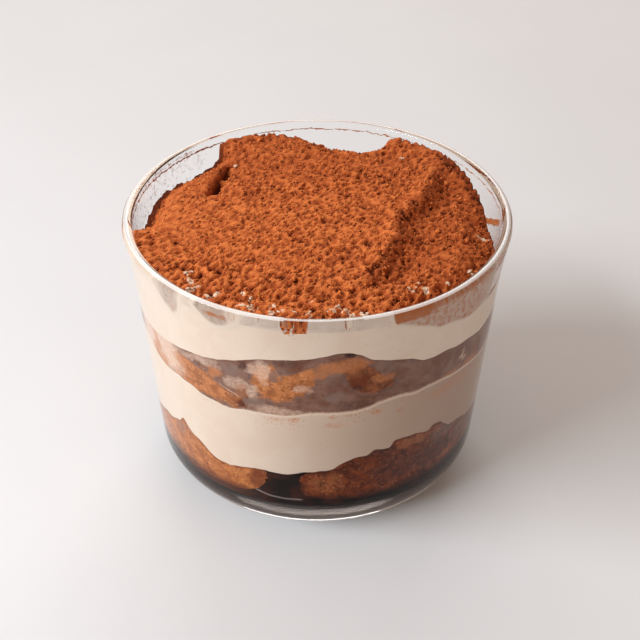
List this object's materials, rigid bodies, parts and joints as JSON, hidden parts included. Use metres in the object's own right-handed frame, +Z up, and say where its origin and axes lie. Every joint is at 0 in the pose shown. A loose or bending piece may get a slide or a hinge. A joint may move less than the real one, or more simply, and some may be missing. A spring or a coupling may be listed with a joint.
{
  "type": "tiramisu in a glass cup",
  "caption": "Layered coffee and cream dessert with soaked sponge fingers and a cocoa-dusted top, served in a clear straight-sided glass cup.",
  "frame": {"origin": "middle of the cup's flat foot, on the surface it stands on", "axes": "+Z up through the mouth of the cup, -Y towards the side where the sponge fingers show best"},
  "size_m": [0.086, 0.086, 0.0641],
  "materials": {
    "glass": "polished clear glass",
    "coffee": "dark wet coffee against the glass",
    "soaked_sponge": "moist open-pored sponge",
    "soaked_sponge_dark": "moist open-pored sponge, soaked dark",
    "cream": "smooth soft cream, slightly wet",
    "stained_cream": "coffee-stained cream film",
    "cocoa": "dry fine powder"
  },
  "bodies": {
    "root": {"glass_cup": "glass", "coffee_syrup": "coffee", "biscuit_lower_left": "soaked_sponge", "biscuit_lower_right": "soaked_sponge_dark", "cream_lower": "cream", "stained_cream": "stained_cream", "biscuit_upper_left": "soaked_sponge", "biscuit_upper_middle": "soaked_sponge", "biscuit_upper_right": "soaked_sponge_dark", "biscuit_crumb": "soaked_sponge", "cream_upper": "cream", "cocoa_powder": "cocoa"}
  },
  "joints": []
}
